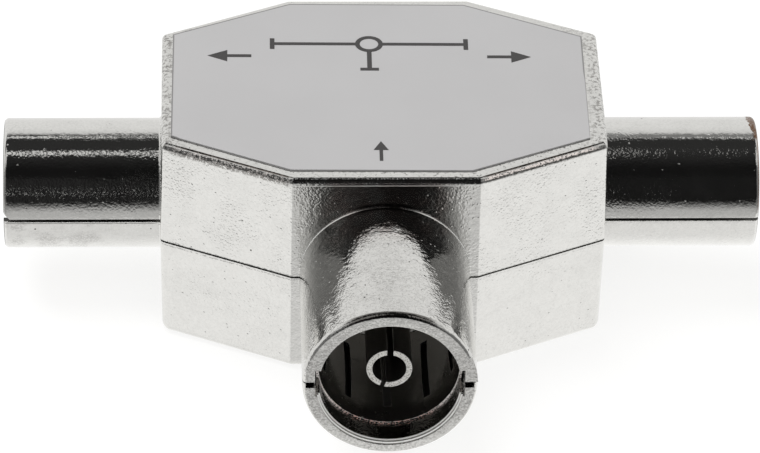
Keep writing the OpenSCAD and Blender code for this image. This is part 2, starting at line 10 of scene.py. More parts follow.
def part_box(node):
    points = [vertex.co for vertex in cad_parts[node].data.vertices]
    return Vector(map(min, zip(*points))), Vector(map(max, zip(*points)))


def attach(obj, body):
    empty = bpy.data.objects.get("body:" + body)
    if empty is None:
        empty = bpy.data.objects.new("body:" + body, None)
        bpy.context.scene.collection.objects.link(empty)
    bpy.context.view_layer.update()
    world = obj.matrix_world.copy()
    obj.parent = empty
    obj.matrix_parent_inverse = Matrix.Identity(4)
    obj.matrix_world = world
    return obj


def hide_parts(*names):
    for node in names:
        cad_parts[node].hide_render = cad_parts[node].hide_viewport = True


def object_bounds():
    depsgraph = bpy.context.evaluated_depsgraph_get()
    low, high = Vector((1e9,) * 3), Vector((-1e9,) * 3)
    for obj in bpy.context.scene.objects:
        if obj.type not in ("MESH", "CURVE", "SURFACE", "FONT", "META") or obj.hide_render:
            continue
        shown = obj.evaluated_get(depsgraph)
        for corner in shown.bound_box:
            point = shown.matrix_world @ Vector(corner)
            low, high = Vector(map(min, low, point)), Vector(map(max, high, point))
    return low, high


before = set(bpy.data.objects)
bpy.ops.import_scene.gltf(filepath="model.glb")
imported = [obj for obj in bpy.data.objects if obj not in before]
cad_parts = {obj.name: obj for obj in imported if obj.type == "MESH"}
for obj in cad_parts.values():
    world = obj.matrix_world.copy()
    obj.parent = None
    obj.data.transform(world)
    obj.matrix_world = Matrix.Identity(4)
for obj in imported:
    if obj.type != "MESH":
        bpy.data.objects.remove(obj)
CAD_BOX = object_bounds()

bl_info = {
    "name": "Aerial Splitter",
    "version": (1, 0, 0),
    "blender": (4, 5, 0),
    "location": "View3D > Sidebar > Splitter",
    "description": "Dresses the die-cast aerial splitter and sets its stage",
    "category": "Add Mesh",
}

MM = 0.001
# Places on the part, in millimetres: heights, the right plug's end, and how far forward the round parts reach
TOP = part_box("upper_shell")[1].z / MM
LABEL_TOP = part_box("label")[1].z / MM
TIP = CAD_BOX[1][0] / MM
RING_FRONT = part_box("upper_shell")[0].y / MM
SLEEVE_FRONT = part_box("socket_sleeve")[0].y / MM
CONTACT_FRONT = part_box("socket_contact")[0].y / MM
# Height of the seam between the two shells, where the three barrels have their axes
SEAM = (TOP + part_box("lower_shell")[0].z / MM) / 2
# Where the socket barrel and the plug barrels leave the body
ROOT = -11.58
BODY_SIDE = 16.4
# The mouth's halves are bored this far above and below the seam. The lower one has ledges at these depths
BORE_SHIFT = 0.2
LEDGES = (0.2, 0.4)
# Axes of the barrels and of the mouth's two halves: direction, height and the greatest radius of what is
# turned about it. From here to the colours, lengths are in metres
SPINES = [
    (Vector((1, 0, 0)), SEAM * MM, 5.0 * MM),
    (Vector((0, 1, 0)), SEAM * MM, 6.4 * MM),
    (Vector((0, 1, 0)), (SEAM + BORE_SHIFT) * MM, 5.3 * MM),
    (Vector((0, 1, 0)), (SEAM - BORE_SHIFT) * MM, 5.3 * MM),
]
# A face that strays further than this from a turned surface isn't part of it
MAX_STRAY = math.radians(4)
# A face whose normal leans out less than this is square to the axis
MIN_LEAN = 0.05
# Corners that are nearer than this to the axis have no direction from it
MIN_RADIUS = 0.01 * MM
# Corners that are nearer than this to each other are one
WELD = 0.0005 * MM
# The floor's half width, and the gap between it and the part
FLOOR_HALF = 3.0
FLOOR_GAP = 0.02 * MM

# Colours of wear and specks, and of painted shade and painted highlights
TINTS = {
    "speck": [0.26, 0.25, 0.23],
    "dust": [0.3, 0.3, 0.29],
    "pit": [0.04, 0.036, 0.03],
    "frost_and_highlight": [0.9, 0.9, 0.88],
    "bead_highlight": [0.85, 0.77, 0.73],
    "ledge": [0.95, 0.95, 0.93],
    "grime_and_shade": [0.16, 0.15, 0.14],
    "ring": [0.25, 0.245, 0.24],
    "brown": [0.1, 0.065, 0.045],
    "warm": [0.62, 0.52, 0.49],
    "dirt_and_shade": [0.05, 0.048, 0.044],
    "lit_copper": [0.18, 0.1, 0.06],
    "shaded_copper": [0.12, 0.05, 0.022],
    "lip": [0.95, 0.9, 0.87],
    "red": [0.55, 0.33, 0.28],
    "sleeve_shade": [0.3, 0.28, 0.26],
    "deep_shade": [0.07, 0.065, 0.06],
    "contact_side": [0.24, 0.225, 0.21],
    "contact_front": [0.2, 0.19, 0.18],
    "edge_shadow_colour": [0.12, 0.118, 0.115],
}


class Signal:
    """A number or a vector in a finish, on which Python's operators add Math nodes."""

    def __init__(self, sheet, socket):
        self.sheet = sheet
        self.socket = socket

    def math(self, operation, *values):
        return self.sheet.node("ShaderNodeMath", {"operation": operation}, values)

    def __add__(self, other):
        return self.math("ADD", self, other)

    def __radd__(self, other):
        return self.math("ADD", other, self)

    def __sub__(self, other):
        return self.math("SUBTRACT", self, other)

    def __rsub__(self, other):
        return self.math("SUBTRACT", other, self)

    def __mul__(self, other):
        return self.math("MULTIPLY", self, other)

    def __rmul__(self, other):
        return self.math("MULTIPLY", other, self)

    def __truediv__(self, other):
        return self.math("DIVIDE", self, other)

    def __abs__(self):
        return self.math("ABSOLUTE", self)

    def root(self):
        return self.math("SQRT", self)

    def lower(self, other):
        return self.math("MINIMUM", self, other)

    def higher(self, other):
        return self.math("MAXIMUM", self, other)

    def step(self, start, end):
        """0 before start, 1 after end and smooth between them; the other way round where end is less."""
        low, high = min(start, end), max(start, end)
        ramp = self.sheet.node(
            "ShaderNodeMapRange", {"interpolation_type": "SMOOTHSTEP"},
            {"Value": self, "From Min": low, "From Max": high},
        )
        return ramp if end > start else 1 - ramp


class Sheet:
    """The nodes of one finish or of the world."""

    def __init__(self, owner):
        owner.use_nodes = True
        self.tree = owner.node_tree
        self.tree.nodes.clear()

    def node(self, kind, settings=None, inputs=None, output=0):
        """Adds a node, sets it up, fills its sockets from values or signals and returns an output."""
        node = self.tree.nodes.new(kind)
        for name, value in (settings or {}).items():
            setattr(node, name, value)
        pairs = inputs.items() if isinstance(inputs, dict) else enumerate(inputs or ())
        for key, value in pairs:
            if isinstance(value, Signal):
                self.tree.links.new(value.socket, node.inputs[key])
            else:
                node.inputs[key].default_value = value
        return Signal(self, node.outputs[output])

    def place(self):
        """Object coordinates, which are metres in the part's frame."""
        return self.node("ShaderNodeTexCoord", output="Object")

    def parts(self, vector):
        """The x, y and z of a vector."""
        split = self.node("ShaderNodeSeparateXYZ", inputs=[vector]).socket.node
        return [Signal(self, socket) for socket in split.outputs]

    def millimetres(self):
        """The x, y and z of the object coordinates, in millimetres."""
        return [axis / MM for axis in self.parts(self.place())]

    def stretched(self, vector, scale):
        return self.node("ShaderNodeMapping", {"vector_type": "POINT"}, {"Vector": vector, "Scale": scale})

    def noise(self, vector, size, detail=2.0, roughness=0.5, distortion=0.0):
        """Noise whose features are about size millimetres."""
        return self.node(
            "ShaderNodeTexNoise", {"noise_dimensions": "3D"},
            {"Vector": vector, "Scale": 1 / (size * MM), "Detail": detail,
             "Roughness": roughness, "Distortion": distortion},
        )

    def cells(self, vector, size, output="Distance"):
        """Voronoi cells about size millimetres wide. The distance is in cell widths."""
        return self.node(
            "ShaderNodeTexVoronoi", {"feature": "F1", "voronoi_dimensions": "3D"},
            {"Vector": vector, "Scale": 1 / (size * MM)}, output,
        )

    def blend(self, amount, first, second):
        """A colour between two."""
        return self.node(
            "ShaderNodeMix", {"data_type": "RGBA"}, {0: amount, 6: rgba(first), 7: rgba(second)}, 2
        )

    def layered(self, shade, *layers):
        """A colour with layers over it, each of which is an amount and a colour."""
        for amount, tint in layers:
            shade = self.blend(amount, shade, tint)
        return shade

    def bump(self, height, depth, normal=None):
        """A normal from a height of 0 to 1 that stands for depth millimetres."""
        inputs = {"Height": height, "Distance": depth * MM, "Strength": 1.0}
        if normal is not None:
            inputs["Normal"] = normal
        return self.node("ShaderNodeBump", None, inputs)


def rgba(colour):
    return colour if isinstance(colour, Signal) else (*colour[:3], 1.0)


def scaled(colour, factor):
    return [value * factor for value in colour]


def radius(across, up):
    """Distance from an axis."""
    return (across * across + up * up).root()


def finish(name, build):
    """The material of this name, whose Principled sockets come from build(sheet)."""
    material = bpy.data.materials.get(name) or bpy.data.materials.new(name)
    sheet = Sheet(material)
    sockets = build(sheet)
    shader = sheet.node("ShaderNodeBsdfPrincipled", None, sockets)
    output = sheet.tree.nodes.new("ShaderNodeOutputMaterial")
    sheet.tree.links.new(shader.socket, output.inputs["Surface"])
    return material


def wear_and_highlight(sheet, sockets, amount, colour):
    """The sockets of a plate that is pale, dull and rough by the given amount, for worn edges and for painted
    highlights.
    """
    sockets["Base Color"] = sheet.blend(amount, sockets["Base Color"], colour)
    sockets["Metallic"] = sockets["Metallic"] * (1 - amount * 0.8)
    sockets["Roughness"] = sockets["Roughness"] + amount * 0.4
    return sockets


def nickel(colour, peel, grain, pits):
    """Bright nickel plate with broad and fine waves, whose slopes are peel and grain, and a share of pits."""
    def build(sheet):
        at = sheet.place()
        x, y = sheet.millimetres()[:2]
        on_socket = y.step(-12, -13)
        # The plugs are smoother towards their ends
        near = abs(x).step(23, 16.5)
        waves = sheet.noise(at, 0.5, detail=1.0) * (1 + on_socket * 1.4)
        fine = sheet.noise(at, 0.17, detail=1.0)
        rougher = sheet.noise(at, 3.0, detail=1.0).step(0.35, 0.65)
        grit = (0.5 + near * 0.7 + y.step(-1, -4) * 0.5) * (0.6 + rougher * 0.8)
        # Pimples and pits sit in the middle of cells that are picked by colour
        pimple_cell, pit_cell = 0.37, 0.6
        raised = sheet.parts(sheet.cells(at, pimple_cell, "Color"))[1].step(0.88, 0.9)
        pimple = sheet.cells(at, pimple_cell).step(0.24, 0.03) * raised
        chance = sheet.parts(sheet.cells(at, pit_cell, "Color"))[0]
        pit = sheet.cells(at, pit_cell).step(0.15, 0.07) * chance.step(1 - pits, 1 - pits + 0.02)
        smear = sheet.noise(at, 1.9, detail=3.0, roughness=0.65, distortion=0.4)
        mottle = sheet.noise(at, 0.22, detail=2.0, roughness=0.6)
        scratch = abs(sheet.noise(at, 1.3, detail=1.0, distortion=1.6) - 0.5).step(0.02, 0.004)
        scratch = scratch * sheet.noise(at, 0.8).step(0.45, 0.6)
        speck = sheet.noise(at, 0.15, detail=1.5, distortion=1.2).step(0.63, 0.73) * smear.step(0.52, 0.68)
        # Sharp edges are paled by wear and by a painted highlight, where the rounded normal strays from the
        # face
        rounded = sheet.node("ShaderNodeBevel", {"samples": 6}, {"Radius": 0.04 * MM})
        facing = sheet.node("ShaderNodeNewGeometry", output="Normal")
        bend = sheet.node("ShaderNodeVectorMath", {"operation": "DOT_PRODUCT"}, [rounded, facing], "Value")
        dust = sheet.noise(at, 0.1, detail=2.0, roughness=0.6)
        frost_and_highlight = bend.step(0.995, 0.95) * dust.step(0.4, 0.52) * abs(y - ROOT).step(0.2, 0.3)
        normal = rounded
        bumps = ((waves, peel * 0.5), (fine * grit, grain * 0.17), (pimple, grain * 0.3), (1 - pit, 0.04))
        for height, depth in bumps:
            normal = sheet.bump(height, depth, normal)
        dull = smear.step(0.3, 0.75) * 0.5 + mottle.step(0.35, 0.7) * 0.5
        shade = sheet.layered(
            colour,
            (dull + scratch * 0.8, scaled(colour, 0.9)),
            (speck * 0.34, TINTS["speck"]),
            (dust.step(0.45, 0.7) * (0.07 + on_socket * 0.08), TINTS["dust"]),
            (pit * 0.9, TINTS["pit"]),
        )
        sockets = {
            "Base Color": shade, "Metallic": 1.0 - pit * 0.5, "Normal": normal,
            "Roughness": 0.035 + smear.step(0.35, 0.8) * 0.035 + speck * 0.15 + pit * 0.4,
        }
        return wear_and_highlight(sheet, sockets, frost_and_highlight, TINTS["frost_and_highlight"])
    return build


class Spot:
    """Where a point of the shells lies, in millimetres, and the noises that their wear and their painted
    light share.
    """

    def __init__(self, sheet):
        self.x, self.y, z = sheet.millimetres()
        self.wide = abs(self.x)
        # 0 on the left and 1 on the right
        self.right = self.x.step(-2, 2)
        # Over the seam, under the top, behind the ring's front and away from the socket's axis
        self.above = z - SEAM
        self.drop = TOP - z
        self.depth = self.y - RING_FRONT
        self.spread = radius(self.x, self.above)
        self.off_seam = abs(self.above)
        at = sheet.place()
        self.fine = sheet.noise(at, 0.14, detail=2.0, roughness=0.65)
        self.coarse = sheet.noise(at, 0.24, detail=2.0, roughness=0.6)
        self.ragged = sheet.noise(at, 0.4, detail=3.0, roughness=0.7) - 0.5
        self.curled = sheet.noise(at, 0.42, detail=2.0, distortion=1.2) - 0.5
        self.patchy = sheet.noise(at, 1.4, detail=2.0)


def rim_specks(spot):
    """Grime in specks along the top's side edges, and between the label and the front edges."""
    outer = spot.wide.step(14.6, 15.6) * 0.55 + spot.patchy.step(0.4, 0.6) * 0.25 + 0.2
    sides = spot.drop.step(0.4, 0.3) * spot.wide.step(12.8, 13.6) * spot.y.step(-7.8, -7)
    sides = sides * spot.coarse.step(0.45, 0.62) * outer * 0.75
    front = spot.drop.step(0.02, 0.005) * spot.y.step(-6.5, -7.5)
    return sides.higher(front * spot.coarse.step(0.56, 0.68) * (0.3 + spot.right * 0.35))


def slanted_edges(spot):
    """The slanted top edges: a beaded painted highlight, painted shade round it and a brown line."""
    slanted = spot.wide.step(6.6, 7.2) * spot.y.step(-7, -7.6)
    brown = spot.drop.step(0.0008, 0.002) * spot.drop.step(0.07, 0.05) * slanted
    # The highlight beads have a ragged painted shadow under them, and both are nearer to the top on the right
    drop = spot.drop + (spot.coarse - 0.5) * 0.25
    shifted = drop + spot.right * 0.19
    bead_highlights = drop.step(0.06, 0.12) * (shifted + spot.right * 0.05).step(0.52, 0.44) * slanted
    bead_highlights = bead_highlights * (spot.fine + spot.right * 0.1).step(0.5, 0.56) * (0.5 + spot.right * 0.4)
    bead_shadow = shifted.step(0.38, 0.44) * shifted.step(0.72, 0.5) * slanted
    bead_shadow = bead_shadow * spot.fine.step(0.42, 0.5) * (0.85 - spot.right * 0.15)
    # On the left there is painted shade between the beads
    left_edge_shade = drop.step(0.12, 0.2) * drop.step(0.55, 0.4) * slanted * (1 - spot.right)
    left_edge_shade = left_edge_shade * spot.coarse.step(0.6, 0.45) * 0.7
    return bead_shadow.higher(left_edge_shade), bead_highlights, brown


def painted_highlight_lines(spot):
    """Painted highlights: a thin bright line under the front's top edge, and one on both sides of the socket
    barrel's root.
    """
    crest = abs(spot.drop - 0.5).step(0.05, 0.015) * spot.wide.step(6.8, 6.2) * spot.y.step(-10, -11)
    root = abs(spot.y - ROOT).step(0.05, 0.03) * spot.wide.step(1.5, 3)
    root = root * spot.spread.step(6.26, 6.21) * spot.above.step(1, 2)
    return (crest * 0.6).higher(root * 0.8)


def mouth(spot):
    """The socket's mouth: dark specks of soil on the front, painted shade on the bored walls, and painted
    highlights on its two ledge edges.
    """
    front = spot.depth.step(0.06, 0.02) * (0.24 + spot.off_seam.step(4.5, 1.5) * 0.2)
    # The lower half is bored from its own centre
    bored = radius(spot.x, spot.above + BORE_SHIFT).step(5.23, 5.21) * spot.above.step(0.3, 0)
    bored = bored * spot.y.step(-20, -21) * spot.depth.step(0.03, 0.06)
    outer, inner = (abs(spot.depth - ledge) for ledge in LEDGES)
    # The ledges are painted bright as highlights, and the rest of the lower bore's wall is painted dark as
    # shade
    ledge_highlights = outer.lower(inner).step(0.03, 0.015) * bored
    grime_and_shade = (front * spot.fine.step(0.42, 0.6)).higher((bored - ledge_highlights) * 0.85)
    return grime_and_shade, ledge_highlights * (1 - spot.depth.step(0.25, 0.35) * 0.35)


def barrel_shade_and_scuff(spot):
    """A painted dark reflection in a band behind the ring's top, painted shade in crinkles on the socket
    barrel, and a scuffed left plug.
    """
    # The band behind the ring's top is a painted dark reflection
    crown_reflection = spot.depth.step(0.5, 0.42) * spot.spread.step(5.9, 5.95) * spot.wide.step(3.6, 2.4)
    crown_reflection = crown_reflection * spot.above.step(3, 4) * 0.92
    # Crinkles drawn as dark lines of painted shade
    crinkle_shade = abs(spot.curled).step(0.045, 0.01) * spot.y.step(-12.5, -14) * spot.above.step(3, 4.5)
    scuff = spot.x.step(-18, -22) * spot.above.step(0, -0.5) * spot.patchy.step(0.42, 0.62)
    scuff = scuff * spot.fine.step(0.35, 0.6)
    return crown_reflection.higher(crinkle_shade.higher(scuff) * 0.3)


def warm_patch(spot):
    """A warm tone on the socket barrel's top, near its root."""
    along = spot.y.step(-16, -13) * spot.y.step(-11, -11.4)
    return along * spot.above.step(3, 5) * spot.wide.step(5.2, 3.6) * spot.patchy.step(0.35, 0.6) * 0.5


def seam_dirt(spot):
    """Dirt in the body's seam, a ragged line under it and a dark line under the left plug's seam."""
    def line(below, waver, outer, inner):
        return abs(spot.above + below + (spot.fine - 0.5) * waver).step(outer, inner)

    on_body = spot.y.step(-13, -11) * spot.wide.step(BODY_SIDE + 0.1, BODY_SIDE)
    seam = line(0.03, 0.3, 0.12, 0.04) * on_body * (0.75 - spot.right * 0.35)
    under = line(0.3, 0.25, 0.08, 0.03) * on_body * (1 - spot.right * 0.6)
    under = under * spot.coarse.step(0.42, 0.52) * 0.5
    on_plug = spot.x.step(0.1 - BODY_SIDE, -0.2 - BODY_SIDE)
    return seam.higher(under).higher(line(0.24, 0.08, 0.05, 0.02) * on_plug * 0.7)


def root_corner_shade(spot):
    """Painted shade in the corner at the middle of the socket barrel's root."""
    notch = abs(spot.y - ROOT).step(0.3, 0.15) * spot.wide.step(2.6, 1.6) * spot.above.step(5, 6)
    return notch * spot.spread.step(6.5, 6.4) * 0.75


def bore_shade(spot):
    """Painted shade on the inner walls of the hollow barrels."""
    plugs = radius(spot.y, spot.above).step(4.65, 4.55) * spot.wide.step(BODY_SIDE, BODY_SIDE + 0.1)
    socket = spot.spread.step(5.45, 5.35) * spot.depth.step(2.0, 2.1) * spot.y.step(-12, -12.1)
    return plugs.higher(socket)


def bared_end(spot):
    """Where the right barrel's end has lost its plate."""
    reach = ((spot.y + 1.3) * 0.11).lower(0.35) + spot.ragged * 0.7
    patch = (spot.x - TIP + reach + 0.3).step(-0.06, 0.06) * spot.above.step(3, 3.2)
    patch = patch * (spot.y + spot.ragged * 1.5).step(-1.2, -0.9)
    end = spot.x.step(TIP - 0.16, TIP - 0.1) * spot.above.step(0.5, 1) * 0.7
    return patch.higher(end) * (0.65 + spot.fine.step(0.62, 0.5) * 0.35)


def casting(colour):
    """The plated shells: specks on the rim, soiled seams, the worn end of the right barrel, and painted shade
    and highlights on the edges, the mouth and the barrels.
    """
    def build(sheet):
        sockets = nickel(colour, shells().peel, shells().grain, 0.035)(sheet)
        spot = Spot(sheet)
        slanted_edge_shade, bead_highlights, brown = slanted_edges(spot)
        mouth_specks_and_shade, ledge_highlights = mouth(spot)
        # Beads along the slanted edges, painted pale as highlights
        sockets = wear_and_highlight(sheet, sockets, bead_highlights, TINTS["bead_highlight"])
        # Painted highlights along the front's top edge and the socket barrel's root
        sockets = wear_and_highlight(sheet, sockets, painted_highlight_lines(spot), TINTS["frost_and_highlight"])
        # Ledge edges in the mouth, painted bright as highlights
        sockets = wear_and_highlight(sheet, sockets, ledge_highlights, TINTS["ledge"])
        # Dark specks on the rim, with painted shade on the slanted edges, in the mouth and on the barrels
        grime_and_shade = rim_specks(spot).higher(slanted_edge_shade).higher(mouth_specks_and_shade).higher(barrel_shade_and_scuff(spot))
        ring = spot.depth.step(0.06, 0.02) * spot.off_seam.step(5.2, 2) * 0.26
        seam, inside, bare = seam_dirt(spot), bore_shade(spot), bared_end(spot)
        sockets["Base Color"] = sheet.layered(
            sockets["Base Color"],
            (grime_and_shade, TINTS["grime_and_shade"]),
            (ring, TINTS["ring"]),
            (brown * 0.75, TINTS["brown"]),
            (warm_patch(spot), TINTS["warm"]),
            # Dark seams, with painted shade in the bores and in the corner of the socket barrel's root
            (seam.higher(inside).higher(root_corner_shade(spot)) * 0.85, TINTS["dirt_and_shade"]),
            # Bare copper, painted lighter on the barrel's top and darker on its side as lit and shaded copper
            (bare, sheet.blend(spot.above.step(4.4, 3.6), TINTS["lit_copper"], TINTS["shaded_copper"])),
        )
        sockets["Roughness"] = sockets["Roughness"] + bare * 0.3 + seam * 0.3 + inside * 0.4
        return sockets
    return build


def plated_contact(colour, peel):
    """The plated contacts: a lip painted pale as a highlight, painted shade inside the sleeve that grows
    further in, and specks on the front of the rolled contact.
    """
    def build(sheet):
        sockets = nickel(colour, peel, peel, 0.04)(sheet)
        x, y, z = sheet.millimetres()
        above, in_sleeve, in_contact = z - SEAM, y - SLEEVE_FRONT, y - CONTACT_FRONT
        spread = radius(x, above)
        on_sleeve = spread.step(3.5, 4.5)
        fine = sheet.noise(sheet.place(), 0.12, detail=2.0, roughness=0.65)
        low = above.step(-3, -4.6)
        # The sleeve's lip is painted pale and rough as a highlight, and is redder low down
        lip = on_sleeve * in_sleeve.step(0.07, 0.03) * (fine - low * 0.14).step(0.36, 0.48)
        sockets = wear_and_highlight(sheet, sockets, lip, TINTS["lip"])
        # Painted shade inside the sleeve, darker further in
        sleeve_shade = on_sleeve * in_sleeve.step(0.02, 0.1) * y.step(-11, -12) * 0.8
        # The centre contact's sides behind its front are darker and rougher
        contact_sides = spread.step(2.4, 2.2) * y.step(-12, -13) * in_contact.step(0.04, 0.08)
        front = in_contact.step(0.05, 0.02) * spread.step(1.7, 1.65) * fine.step(0.5, 0.6)
        sockets["Base Color"] = sheet.layered(
            sockets["Base Color"],
            (lip * low, TINTS["red"]),
            (sleeve_shade, TINTS["sleeve_shade"]),
            (sleeve_shade * in_sleeve.step(0.5, 4) * 0.6, TINTS["deep_shade"]),
            (contact_sides * 0.85, TINTS["contact_side"]),
            (front * 0.7, TINTS["contact_front"]),
        )
        sockets["Roughness"] = sockets["Roughness"] + sleeve_shade.higher(contact_sides) * 0.25
        return sockets
    return build


def edge_gap(x, y, node):
    """How far a point is from the straight upright sides of a flat node, in millimetres."""
    sides = {
        tuple(round(value, 5) for value in (face.normal.x, face.normal.y, face.normal.dot(face.center)))
        for face in node.data.polygons if abs(face.normal.z) < 0.1
    }
    nearest, *others = [reach / MM - x * across - y * along for across, along, reach in sides]
    for gap in others:
        nearest = nearest.lower(gap)
    return nearest


def foil(colour):
    """The satin silver film of the label, with a fine brushed sheen and a painted shadow along its edge."""
    def build(sheet):
        at = sheet.place()
        x, y, z = sheet.millimetres()
        grain = sheet.noise(sheet.stretched(at, (0.25, 1, 1)), 0.09, detail=2.0)
        cloud = sheet.noise(at, 6.0, detail=2.0)
        # The painted shadow along the edge is wider and darker at the back and at the sides
        wider = y.step(0, 2).higher(abs(x).step(14.6, 15))
        gap = edge_gap(x, y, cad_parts["label"]) - wider * 0.07
        edge_shadow = gap.step(0.05, 0.01) * (0.42 + wider * 0.28)
        # The upright edge walls are painted dark as shade
        edge_shadow = edge_shadow.higher(z.step(LABEL_TOP - 0.01, LABEL_TOP - 0.03) * 0.5)
        shade = sheet.layered(
            colour, (cloud.step(0.3, 0.7) * 0.6, scaled(colour, 0.96)), (edge_shadow, TINTS["edge_shadow_colour"])
        )
        return {
            "Base Color": shade, "Metallic": 0.25, "Roughness": 0.42 + grain * 0.1,
            "Normal": sheet.bump(grain, 0.0006),
        }
    return build


def ink(colour):
    """Screen-printed ink, slightly uneven."""
    def build(sheet):
        cover = sheet.noise(sheet.place(), 0.12, detail=2.0)
        shade = sheet.blend(cover.step(0.35, 0.75) * 0.6, colour, scaled(colour, 1.5))
        return {"Base Color": shade, "Roughness": 0.55 + cover * 0.15, "Normal": sheet.bump(cover, 0.001)}
    return build


def moulded(colour, roughness, size=0.5, depth=0.002, metallic=0.0):
    """A plain moulded or fired surface with a slight mottle and texture."""
    def build(sheet):
        fine = sheet.noise(sheet.place(), size, detail=3.0)
        shade = sheet.blend(fine.step(0.3, 0.7), colour, scaled(colour, 0.86))
        return {
            "Base Color": shade, "Metallic": metallic, "Roughness": roughness + fine * 0.12,
            "Normal": sheet.bump(fine, depth),
        }
    return build


def laminate(colour):
    """Resin-bonded board, with its fibres along X."""
    def build(sheet):
        at = sheet.stretched(sheet.place(), (0.3, 1, 1))
        fibre = sheet.noise(at, 0.2, detail=3.0, roughness=0.6)
        shade = sheet.blend(fibre, scaled(colour, 0.8), colour)
        return {"Base Color": shade, "Roughness": 0.5, "Normal": sheet.bump(fibre, 0.003)}
    return build


class SplitterShells(bpy.types.PropertyGroup):
    colour: FloatVectorProperty(
        name="Nickel", description="Colour of the nickel plate", subtype="COLOR",
        default=(0.79, 0.785, 0.765), min=0, max=1)
    peel: FloatProperty(
        name="Peel", description="Slope of the plate's broad waves", default=0.02, min=0, max=0.2)
    grain: FloatProperty(
        name="Grain", description="Slope of the casting's fine grain", default=0.06, min=0, max=0.2)
    sharp_angle: FloatProperty(
        name="Sharp edges", description="Faces that meet at more than this stay sharp", subtype="ANGLE",
        default=math.radians(32))


class SplitterLabel(bpy.types.PropertyGroup):
    foil: FloatVectorProperty(
        name="Foil", description="Colour of the label", subtype="COLOR",
        default=(0.505, 0.5, 0.505), min=0, max=1)
    ink: FloatVectorProperty(
        name="Ink", description="Colour of the print", subtype="COLOR",
        default=(0.045, 0.043, 0.043), min=0, max=1)


class SplitterContacts(bpy.types.PropertyGroup):
    colour: FloatVectorProperty(
        name="Plate", description="Colour of the plated contacts", subtype="COLOR",
        default=(0.74, 0.73, 0.7), min=0, max=1)
    peel: FloatProperty(
        name="Peel", description="Slope of the plate's broad waves", default=0.008, min=0, max=0.2)
    insulator: FloatVectorProperty(
        name="Insulator", description="Colour of the insulators", subtype="COLOR",
        default=(0.8, 0.79, 0.74), min=0, max=1)


class SplitterStage(bpy.types.PropertyGroup):
    azimuth: FloatProperty(
        name="Azimuth", description="Direction of the camera from the front", subtype="ANGLE",
        default=math.radians(-2.455))
    elevation: FloatProperty(
        name="Elevation", description="Height of the camera over the horizon", subtype="ANGLE",
        default=math.radians(36.453))
    roll: FloatProperty(
        name="Roll", description="Turn of the camera about its view", subtype="ANGLE",
        default=math.radians(1.319))
    distance: FloatProperty(
        name="Distance", description="From the camera to the point it looks at", subtype="DISTANCE",
        unit="LENGTH", default=0.38831)
    aim: FloatVectorProperty(
        name="Aim", description="The point that the camera looks at", subtype="XYZ", unit="LENGTH",
        default=(0.000073, 0.0, 0.004367))
    lens: FloatProperty(
        name="Lens", description="Focal length in millimetres", default=248.64, min=20, max=500)
    ambient: FloatProperty(
        name="Ambient", description="Plain light from all sides", default=0.55, min=0, max=2)


def shells():
    return bpy.context.scene.splitter_shells


def dress(node, material):
    """Gives a CAD node its finish."""
    node.data.materials.clear()
    node.data.materials.append(material)


def turned_normals(face, spine, height, reach):
    """How far a face strays from a surface that is turned about an axis, and its normals at the corners."""
    along = spine * face.normal.dot(spine)
    across = face.normal - along
    if across.length < MIN_LEAN:
        return math.pi, None
    stray, normals = 0.0, []
    for corner in face.verts:
        out = corner.co - Vector((0, 0, height))
        out -= spine * out.dot(spine)
        if not MIN_RADIUS < out.length < reach:
            return math.pi, None
        out = out.normalized() * (1 if out.dot(across) > 0 else -1)
        stray = max(stray, out.angle(across))
        normals.append(along + out * across.length)
    return stray, normals


def corner_normals(form, angle):
    """A normal for each corner, exact on turned surfaces and evened where faces meet at less than angle."""
    own = {}
    for face in form.faces:
        stray, normals = min((turned_normals(face, *spine) for spine in SPINES), key=lambda found: found[0])
        if stray > MAX_STRAY:
            normals = [face.normal] * len(face.verts)
        own.update(zip(face.loops, normals))
    evened = []
    for face in form.faces:
        for loop in face.loops:
            near = [other for other in loop.vert.link_loops if own[other].angle(own[loop], 0) < angle]
            total = sum((own[other] * other.face.calc_area() for other in near), Vector())
            evened.append((total if total.length > 0 else own[loop]).normalized())
    return evened


def smooth_copy(name, node, material, angle):
    """A merged copy of a CAD node with smooth curves and flat faces, which stands for it."""
    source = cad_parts[node]
    form = bmesh.new()
    form.from_mesh(source.data)
    bmesh.ops.remove_doubles(form, verts=form.verts, dist=WELD)
    bmesh.ops.dissolve_degenerate(form, edges=form.edges, dist=WELD)
    form.normal_update()
    normals = corner_normals(form, angle)
    mesh = bpy.data.meshes.new(name)
    form.to_mesh(mesh)
    form.free()
    mesh.shade_smooth()
    mesh.normals_split_custom_set(normals)
    mesh.materials.append(material)
    piece = bpy.data.objects.new(name, mesh)
    bpy.context.scene.collection.objects.link(piece)
    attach(piece, "root")
    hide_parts(node)
    return piece


class OBJECT_OT_splitter_shells(bpy.types.Operator):
    """Adds the two plated shells"""
    bl_idname = "object.splitter_shells"
    bl_label = "Shells"

    def execute(self, context):
        plate = finish("nickel_casting", casting(shells().colour))
        for node in ("upper_shell", "lower_shell"):
            piece = smooth_copy(node.replace("shell", "casting"), node, plate, shells().sharp_angle)
        return {"FINISHED"}


class OBJECT_OT_splitter_label(bpy.types.Operator):
    """Finishes the label and its print"""
    bl_idname = "object.splitter_label"
    bl_label = "Label"

    def execute(self, context):
        look = context.scene.splitter_label
        dress(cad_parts["label"], finish("label_foil", foil(look.foil)))
        dress(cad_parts["label_print"], finish("label_ink", ink(look.ink)))
        return {"FINISHED"}


